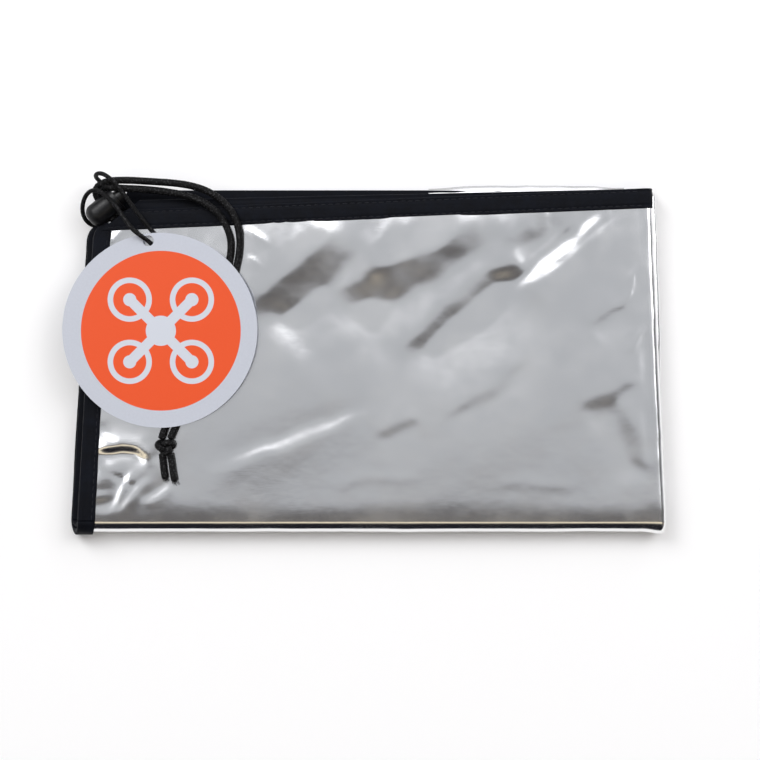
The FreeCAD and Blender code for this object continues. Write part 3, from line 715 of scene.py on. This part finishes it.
def foldedLeaf(name, body, node, faceZ, backZ, topOf, fan, inset, cell, shape=None, spread=0.0):
    # two leaves of one film panel, joined round the right edge; faceZ carries the shape
    radius = abs(faceZ - backZ) / 2
    columns, rows = round(film["run"] / cell), round(film["rise"] / cell)
    turn, under = film["turnCells"], film["underCells"]
    # share of the way to the fold, and the angle turned through, from the face to the leaf behind it
    line = [(j / columns, 0.0) for j in range(columns + 1)]
    line += [(1.0, math.pi * k / turn) for k in range(1, turn + 1)]
    line += [(1 - j / under, math.pi) for j in range(1, under + 1)]
    xs, ys, zs = [], [], []
    for i in range(rows + 1):
        v = i / rows
        rowX, rowY, rowZ = [], [], []
        for u, angle in line:
            yGuess = foldY + v * (backEdge - foldY)
            right = rightEdge(yGuess, inset + film["edgeInset"]) - radius
            right += spread * float(smoothstep((yGuess + 40) / 75))
            x = leftEdge(yGuess, fan) + u * (right - leftEdge(yGuess, fan))
            rowX.append(x + radius * math.sin(angle))
            rowY.append(foldY + v * (topOf(x) - foldY))
            rowZ.append((faceZ + backZ) / 2 + (faceZ - backZ) / 2 * math.cos(angle))
        xs.append(rowX)
        ys.append(rowY)
        zs.append(rowZ)
    x, y, z = np.array(xs), np.array(ys), np.array(zs)
    facing = np.tile([0.5 + 0.5 * math.cos(angle) for u, angle in line], (rows + 1, 1))
    sense = 1 if faceZ > backZ else -1
    z = z - sense * rollDrop(y) * (2 * facing - 1)
    if shape:
        z = z + shape(x, y) * facing
    # the folded edge wanders a little
    ripple = 0.35 * noiseField(x, y, 13, faceZ) + 0.15 * noiseField(x, y, 5, faceZ + 3)
    x = x + ripple * smoothstep((x - 108) / 8)
    piece = gridPiece(name, x, y, z, flip=sense < 0)
    standIn(piece, body, node)
    return piece


def quiet(size, seed):
    def shape(x, y):
        return size * noiseField(x, y, 30, seed) * smoothstep((y - foldY) / film["calmRun"])
    return shape


def backHem(x):
    return hemLine(x, packet["backSlope"]) + 0.5


def frontHem(x):
    return hemLine(x, packet["frontSlope"]) + 0.5


def seamLine(x):
    return backEdge - packet["hem"] + packet["grip"]


topLeaf = foldedLeaf("film_top_leaf", "upper_half", "upper_back_film", levels["topBack"], levels["turnBack"],
                     backHem, film["fan"], 0.0, film["cell"], crumple)
print("top film shaped")
upperFront = foldedLeaf("film_upper_front", "upper_half", "upper_front_film", levels["topFront"],
                        levels["turnFront"], frontHem, film["fan"], 1.7, 3.0, quiet(0.25, 2.5))
lowerFront = foldedLeaf("film_lower_front", "lower_half", "lower_front_film", levels["coverFront"],
                        levels["baseFront"], seamLine, 0.0, 0.9, 3.0, quiet(0.2, 4.5), 2.2)
baseLeaf = foldedLeaf("film_base_leaf", "lower_half", "lower_back_film", levels["baseBack"],
                      levels["coverBack"], seamLine, 0.0, 0.0, 2.0, quiet(0.3, 6.5), 2.2)


spare = {"from": 24, "to": 103, "near": 66.5, "stand": 1.7, "columns": 80, "rows": 12}


def looseFilm():
    # a strip of spare film that shows behind the mouth, between the two halves
    between = (high("bottom_seam_binding").z + low("hem_casing_back").z) / 2
    along = np.linspace(spare["from"], spare["to"], spare["columns"])
    top = backEdge + spare["stand"] - 0.9 * smoothstep((along - 88) / 12)
    top = top - 1.1 * smoothstep((44 - along) / 18)
    top = top + 0.2 * noiseField(along[None, :], along[None, :] * 0, 9, 1.5)[0]
    ripple = 0.1 * noiseField(along[None, :], along[None, :] * 0, 7, 3.5)[0]
    xs, ys, zs = [], [], []
    for i in range(spare["rows"] + 1):
        v = i / spare["rows"]
        xs.append(along)
        ys.append(spare["near"] + v * (top - spare["near"]))
        zs.append(between - 0.75 * v ** 2 + ripple)
    piece = gridPiece("film_spare_strip", np.array(xs), np.array(ys), np.array(zs))
    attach(piece, "lower_half")


looseFilm()


def rollAngles(tilt):
    # finer steps near the two leaves, from the upper one round to the lower one
    angles = [tilt + 0.02 * k * k for k in range(6)]
    while angles[-1] < math.pi / 2 - 0.09:
        angles.append(angles[-1] + 0.11)
    return angles + [math.pi / 2] + [math.pi - a for a in reversed(angles)]


def rollPiece(name, layers, node, columns=190):
    # the leaves turning under along the bottom edge
    points, faces = [], []
    tilt = film["rollTilt"]
    drop = film["rollLength"] * math.tan(tilt) / 2
    angles = rollAngles(tilt)
    for lower, upper, inset, closing in layers:
        middle = (lower + upper) / 2
        radius = ((upper - lower) / 2 - drop) / math.cos(tilt)
        edge = rightEdge(foldY, inset + film["edgeInset"])
        rings = []
        for angle in angles:
            share = 0.5 - 0.5 * math.cos(angle)
            left = leftEdge(foldY, film["fan"] * (1 - share))
            ring = [(left + (edge - closing - left) * j / columns, radius) for j in range(columns + 1)]
            for k in range(1, 9 if closing else 1):
                w = math.pi / 2 * k / 8
                ring.append((edge - closing + closing * math.sin(w), radius - closing * (1 - math.cos(w))))
            rings.append([(x, foldY - r * math.sin(angle) + radius * math.sin(tilt),
                           middle + r * math.cos(angle)) for x, r in ring])
        x, y, z = np.moveaxis(np.array(rings), 2, 0)
        swell = np.sin(np.array(angles))[:, None] ** 2
        y = y + swell * (0.28 * noiseField(x, z * 0, 34, upper) + 0.1 * noiseField(x, z * 0, 9, upper + 2))
        y = y - swell * 0.9 * smoothstep((x - 110) / 8)
        start, (rows, wide) = len(points), x.shape
        points.extend(zip(x.ravel(), y.ravel(), z.ravel()))
        for i in range(rows - 1):
            for j in range(wide - 1):
                a = start + i * wide + j
                faces.append((a, a + wide, a + wide + 1, a + 1))
    piece = addMesh(name, points, faces, "film")
    addGauge(piece)
    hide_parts(node)
    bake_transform(piece)


rollPiece("film_outer_roll", [(levels["baseBack"], levels["topBack"], 0.0, 2.6)],
          "back_film_fold")
rollPiece("film_inner_rolls", [(levels["baseFront"], levels["topFront"], 2.0, 0.0),
                               (levels["coverFront"], levels["turnFront"], 2.0, 0.0),
                               (levels["coverBack"], levels["turnBack"], 1.0, 0.0)],
          "front_film_fold")
print("films folded")


def roundedSection(width, thick, rounding, count=6):
    # closed outline of a flattened tube: (across, up) pairs, across from -width to 0
    points = []
    corners = [(-rounding, thick / 2 - rounding, 0), (-width + rounding, thick / 2 - rounding, 90),
               (-width + rounding, -thick / 2 + rounding, 180), (-rounding, -thick / 2 + rounding, 270)]
    for cx, cz, begin in corners:
        for k in range(count + 1):
            a = math.radians(begin + 90 * k / count)
            points.append((cx + rounding * math.cos(a), cz + rounding * math.sin(a)))
    return points


def addBetween(outline, step):
    # more points on the long sides of an outline
    fuller = []
    for (ax, az), (bx, bz) in zip(outline, outline[1:] + outline[:1]):
        count = max(1, round(math.dist((ax, az), (bx, bz)) / step))
        fuller.extend((ax + (bx - ax) * k / count, az + (bz - az) * k / count) for k in range(count))
    return fuller


tape = {
    "thick": 1.6, "wall": 0.25, "stitchInset": 1.2,
    "lockX": -111.8, "lockY": 56.5, "lockTurn": math.radians(39.07), "reach": 6.0,
}


def cutX(y):
    # where the slanted left end of the mouth lies at this y
    turn = tape["lockTurn"]
    startX = tape["lockX"] + tape["reach"] * math.sin(turn)
    startY = tape["lockY"] - tape["reach"] * math.cos(turn)
    return startX + (y - startY) / math.tan(turn)


def foldedStrip(name, outlines, topZ, lowZ, slope, pivotX, material, lean=0.0, shape=None,
                startInset=0.0, stations=160, ends=cutX):
    # a band that runs along the mouth, round the right edge and back underneath; two outlines make a tube
    c, s = math.cos(slope), math.sin(slope)
    turn, under = film["turnCells"], film["underCells"]
    # what is left of the way to the right edge, and the angle turned through
    path = [(1 - k / stations, 0, 0) for k in range(stations + 1)]
    path += [(0.0, math.pi * k / turn, 1) for k in range(1, turn)]
    path += [((k + 1) / under, math.pi, 2) for k in range(under)]
    points, faces = [], []
    for outline in outlines:
        for away, angle, part in path:
            for across, up in outline:
                left = -200.0
                for _ in range(4):
                    left = (ends(backEdge + across * c + left * s) + startInset - pivotX + across * s) / c
                x = left * away + lean * across
                lift = shape(x, across, part, up) if shape else 0.0
                radius = (topZ - lowZ) / 2 + up + lift
                x += radius * math.sin(angle)
                points.append((pivotX + x * c - across * s, backEdge + x * s + across * c,
                               (topZ + lowZ) / 2 + radius * math.cos(angle)))
    around, count = len(outlines[0]), len(path)
    faces.extend(ringFaces(count, around, 0, capped=len(outlines) == 1))
    if len(outlines) == 2:
        offset = count * around
        faces.extend(tuple(reversed(f)) for f in ringFaces(count, around, offset, capped=False))
        for j in range(around):
            k = (j + 1) % around
            faces.append((j, offset + j, offset + k, k))
            a, b = (count - 1) * around, offset + (count - 1) * around
            faces.append((a + j, a + k, b + k, b + j))
    return addMesh(name, points, faces, material)


def hemShape(seed):
    half, inset = packet["hem"] / 2, tape["stitchInset"]

    def shape(x, across, part, up):
        # puffed over the cord inside, pinched at the two stitch lines
        inside = 1 - ((across + half) / half) ** 2
        pinch = math.exp(-((across + inset) / 0.45) ** 2)
        pinch += math.exp(-((across + 2 * half - inset) / 0.45) ** 2)
        wrinkle = noise.noise(Vector((x / 7, across / 6, seed)))
        wrinkle += 0.5 * noise.noise(Vector((x / 2.2, across / 3, seed)))
        sign = 1 if up > 0 else -1
        return sign * (0.10 * inside - 0.20 * pinch) + 0.11 * wrinkle * (1 if part == 0 else 0.4)
    return shape


def sewHems():
    width, thick, wall = packet["hem"], tape["thick"], tape["wall"]
    outside = addBetween(roundedSection(width, thick, 0.5), 0.45)
    shrinkX, shrinkZ = (width - 2 * wall) / width, (thick - 2 * wall) / thick
    inside = [((a + width / 2) * shrinkX - width / 2, b * shrinkZ) for a, b in outside]
    braid = [(a - 1.5, b) for a, b in addBetween(roundedSection(5.0, 0.9, 0.35), 0.6)]
    for side in ("back", "front"):
        node, slope = "hem_casing_" + side, packet[side + "Slope"]
        piece = foldedStrip("hem_" + side, [outside, inside], high(node).z - thick / 2,
                            low(node).z + thick / 2, slope, packet["pivot"], "tape",
                            shape=hemShape(slope * 90))
        standIn(piece, "upper_half", node)
    for side in ("back", "front"):
        node, slope = "casing_cord_" + side, packet[side + "Slope"]
        piece = foldedStrip("casing_braid_" + side, [braid], high(node).z - 0.5, low(node).z + 0.5, slope,
                            packet["pivot"], "cord", startInset=-0.3, stations=80)
        standIn(piece, "upper_half", node)


sewHems()
print("hems sewn")


binding = {
    "width": 7.0, "wall": 0.3, "end": 55.6, "corner": 4.6, "cornerFrom": 48.5, "cornerRun": 7.1,
    "stations": 150, "rollStations": 40, "seamSpan": 2.0, "seamLeft": -97.5, "seamCut": 0.35,
    "stitchInset": 5.8, "stitchTop": 50.5,
    # how far each tape stands out from the side, the lowest first
    "fans": {"lower_outer": -1.6, "lower_inner": -0.8, "upper_inner": 1.7, "upper_outer": 2.4},
}


def gripOutline(width, span, wall):
    # tape folded over an edge: open towards -width, closed at 0
    r, q = span / 2, span / 2 - wall
    turn = np.linspace(0, math.pi, 11)
    points = [(-width, q), (-width, r)]
    points += [(-r * 0.5 + r * 0.5 * math.sin(a), r * math.cos(a)) for a in turn]
    points += [(-width, -r), (-width, -q)]
    points += [(-r * 0.5 + (r * 0.5 - wall * 0.6) * math.sin(a), -q * math.cos(a)) for a in turn]
    return addBetween(points, 0.8)


def seamShape(x, across, part, up):
    return 0.08 * noise.noise(Vector((x / 8, across / 5, 2.0)))


def seamEnd(y):
    return binding["seamLeft"] + binding["seamCut"] * (y - backEdge)


def sewSeam():
    node, half = "bottom_seam_binding", binding["seamSpan"] / 2
    outline = gripOutline(packet["hem"], binding["seamSpan"], binding["wall"])
    edge = rightEdge(backEdge - packet["hem"] / 2) + 0.3 - high(node).z / 2
    piece = foldedStrip("seam_tape", [outline], high(node).z - half, low(node).z + half, 0.0, edge, "tape",
                        lean=-packet["rightLean"], shape=seamShape, ends=seamEnd)
    standIn(piece, "lower_half", node)


def sideTape(place, fan):
    # tape folded over the side edge of one leaf, from the roll up to the mouth
    node = "side_binding_" + place
    bottom, top = low(node).z, high(node).z
    half = (top - bottom) / 2
    outline = gripOutline(binding["width"], top - bottom, binding["wall"])
    points = []
    for k in range(binding["stations"] + 1):
        y = foldY + (binding["end"] - foldY) * k / binding["stations"]
        part = max(0, (y - binding["cornerFrom"]) / binding["cornerRun"])
        corner = binding["corner"] * (1 - math.sqrt(max(0, 1 - part ** 2)))
        drift = 0.22 * noise.noise(Vector((y / 16, fan, bottom)))
        drift += 0.1 * noise.noise(Vector((y / 4, fan, bottom)))
        for across, up in outline:
            wave = 0.12 * noise.noise(Vector((y / 6, across / 6, bottom)))
            pinch = 0.24 * math.exp(-((across + binding["stitchInset"]) / 0.45) ** 2)
            pinch += 0.14 * math.exp(-((across + 3.1) / 0.3) ** 2)
            outside = abs(up) > half - 0.35
            up += wave - (pinch if up > 0 else -pinch) * outside
            points.append((leftSide(y) + fan + corner * (1 + across / 9) - across + drift, y,
                           (top + bottom) / 2 + up))
    piece = addMesh("side_tape_" + place, points, ringFaces(binding["stations"] + 1, len(outline)), "tape")
    standIn(piece, "lower_half" if place.startswith("lower") else "upper_half", node)


def sideRoll():
    # the side tapes turning under with the films
    points, faces, count = [], [], binding["rollStations"]
    spans = {}
    for place in binding["fans"]:
        node = "side_binding_" + place
        spans[place] = (low(node).z, high(node).z)
    around = min(len(gripOutline(binding["width"], b - a, binding["wall"])) for a, b in spans.values())
    for layer in ("outer", "inner"):
        lower, upper = spans["lower_" + layer], spans["upper_" + layer]
        lowerFan, upperFan = binding["fans"]["lower_" + layer], binding["fans"]["upper_" + layer]
        upperMiddle, lowerMiddle = sum(upper) / 2, sum(lower) / 2
        start = len(points)
        for k in range(count + 1):
            angle = math.pi * k / count
            share = 0.5 - 0.5 * math.cos(angle)
            span = (upper[1] - upper[0]) * (1 - share) + (lower[1] - lower[0]) * share
            fan = upperFan * (1 - share) + lowerFan * share
            for across, up in gripOutline(binding["width"], span, binding["wall"])[:around]:
                r = (upperMiddle - lowerMiddle) / 2 + up
                points.append((leftSide(foldY) + fan - across, foldY - r * math.sin(angle),
                               (upperMiddle + lowerMiddle) / 2 + r * math.cos(angle)))
        faces.extend(ringFaces(count + 1, around, start))
    piece = addMesh("side_tape_roll", points, faces, "tape")
    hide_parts("side_binding_fold")
    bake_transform(piece)


sewSeam()
for tapeName, fan in binding["fans"].items():
    sideTape(tapeName, fan)
sideRoll()
print("side tapes sewn")


thread = {"length": 2.2, "gap": 0.7, "lift": 0.2, "width": 0.42, "sway": 0.08, "dive": 0.12,
          "rings": 9, "around": 8}


def stitchLine(points, faces, start, end, level):
    # a row of real stitches, each a thread that dives at both ends
    length, width, rings, around = (thread[k] for k in ("length", "width", "rings", "around"))
    a, b = Vector(start), Vector(end)
    run = (b - a).length
    ahead = (b - a).normalized()
    side = Vector((-ahead.y, ahead.x))
    t = 0.0
    while t + length < run:
        first = len(points)
        sway = random.uniform(-thread["sway"], thread["sway"])
        for k in range(rings):
            part = k / (rings - 1)
            middle = a + ahead * (t + length * part) + side * sway
            rise = thread["lift"] * math.sin(math.pi * part) ** 0.6 - thread["dive"]
            r = width / 2 * (0.55 + 0.45 * math.sin(math.pi * part))
            for j in range(around):
                angle = 2 * math.pi * j / around
                out = middle + side * r * math.cos(angle)
                points.append((out.x, out.y, level + rise + r * 0.7 * math.sin(angle)))
        faces.extend(ringFaces(rings, around, first))
        t += length + thread["gap"]


def stitchPiece(name, node, body, rows, under, dive=thread["dive"]):
    points, faces = [], []
    for start, end in rows:
        stitchLine(points, faces, start, end, high(under).z - dive)
    piece = addMesh(name, points, faces, "thread")
    standIn(piece, body, node)


def hemRows():
    # both rows end at the slanted cut beside the lock
    slope, inset = packet["backSlope"], tape["stitchInset"]
    c, s = math.cos(slope), math.sin(slope)
    rows = []
    for drop in (inset, packet["hem"] - inset):
        startX = cutX(backEdge - drop - 211 * s) + 1.0
        start = (startX, backEdge - drop / c + math.tan(slope) * (startX - packet["pivot"]))
        rows.append((start, (packet["pivot"] - 0.5, backEdge - drop / c - 0.01)))
    return rows


def sideStitchX(y):
    return leftSide(y) + binding["fans"]["upper_outer"] + binding["stitchInset"]


sideTop = binding["stitchTop"]
seamRow = backEdge - packet["hem"] + tape["stitchInset"]
stitchPiece("hem_stitches", "hem_stitching", "upper_half", hemRows(), "hem_casing_back")
stitchPiece("side_stitches", "side_stitching", "upper_half",
            [((sideStitchX(foldY), foldY + 0.5), (sideStitchX(sideTop), sideTop))],
            "side_binding_upper_outer")
stitchPiece("seam_stitches", "bottom_seam_stitching", "lower_half", [((-95.0, seamRow), (110.0, seamRow))],
            "bottom_seam_binding", 0.05)
print("stitches laid")


tag = {
    "disc": 31.8, "centre": (-82.8, 12.4),
    "card": (0.52, 0.545, 0.615), "orange": (0.79, 0.072, 0.0008), "white": (0.6, 0.63, 0.7),
    "arm": 2.0, "armReach": 17.5, "rotor": (6.6, 8.8), "boss": 2.6, "hub": 6.0, "tilt": math.radians(45),
}


def makeTagMaterial():
    material, paint, shader = newMaterial("printedCard", tag["card"], 0.5, Coat_Weight=0.12,
                                          Coat_Roughness=0.3)
    x, y, z = paint.split(paint.place())
    x, y = x - tag["centre"][0], y - tag["centre"][1]

    def away(px, py):
        dx, dy = x - px, y - py
        return paint.maths("SQRT", dx * dx + dy * dy)

    def within(value, size):
        return paint.fade(value, size - 0.12, size + 0.12, 1.0, 0.0)

    disc = within(away(0, 0), tag["disc"])
    # a plain flying machine with four rotors
    c, s = math.cos(tag["tilt"]), math.sin(tag["tilt"])
    along, across = x * c + y * s, y * c - x * s
    mark = within(away(0, 0), tag["hub"])
    for one, other in ((along, across), (across, along)):
        bar = within(paint.maths("ABSOLUTE", other), tag["arm"])
        bar = bar * within(paint.maths("ABSOLUTE", one), tag["armReach"])
        mark = paint.maths("MAXIMUM", mark, bar)
    reach = tag["armReach"] * c
    for px, py in ((reach, reach), (-reach, reach), (reach, -reach), (-reach, -reach)):
        gap = away(px, py)
        ring = within(gap, tag["rotor"][1]) * (1 - within(gap, tag["rotor"][0]))
        mark = paint.maths("MAXIMUM", paint.maths("MAXIMUM", mark, ring), within(gap, tag["boss"]))
    top = z > (high("tag_card").z - 0.2)
    fibre = paint.noise(paint.place(), 1.2, 4.0)
    card = paint.mixColour(paint.fade(fibre, 0.3, 0.7), (0.512, 0.536, 0.604, 1), (0.532, 0.558, 0.628, 1))
    printed = paint.mixColour(disc, card, (*tag["orange"], 1))
    printed = paint.mixColour(mark * disc, printed, (*tag["white"], 1))
    paint.join(paint.mixColour(top, card, printed), shader.inputs["Base Color"])
    paint.join(paint.fade(fibre, 0.3, 0.7, 0.36, 0.5), shader.inputs["Roughness"])
    raised(paint, shader, fibre, 0.012, 0.3)
    return material


def dress(node, material, bevel=0.0):
    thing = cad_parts[node]
    thing.data.materials.clear()
    thing.data.materials.append(material)
    if bevel:
        rounded = thing.modifiers.new("edge", "BEVEL")
        rounded.width = bevel * mm
        rounded.segments = 3
        rounded.limit_method = "ANGLE"
        rounded.angle_limit = math.radians(35)
        rounded.harden_normals = False


dress("tag_card", makeTagMaterial(), 0.12)
dress("cord_lock_body", finish["plastic"], 0.25)
dress("cord_lock_plunger", finish["plastic"], 0.2)
dress("cord_lock_spring", finish["steel"])
print("tag and lock finished")
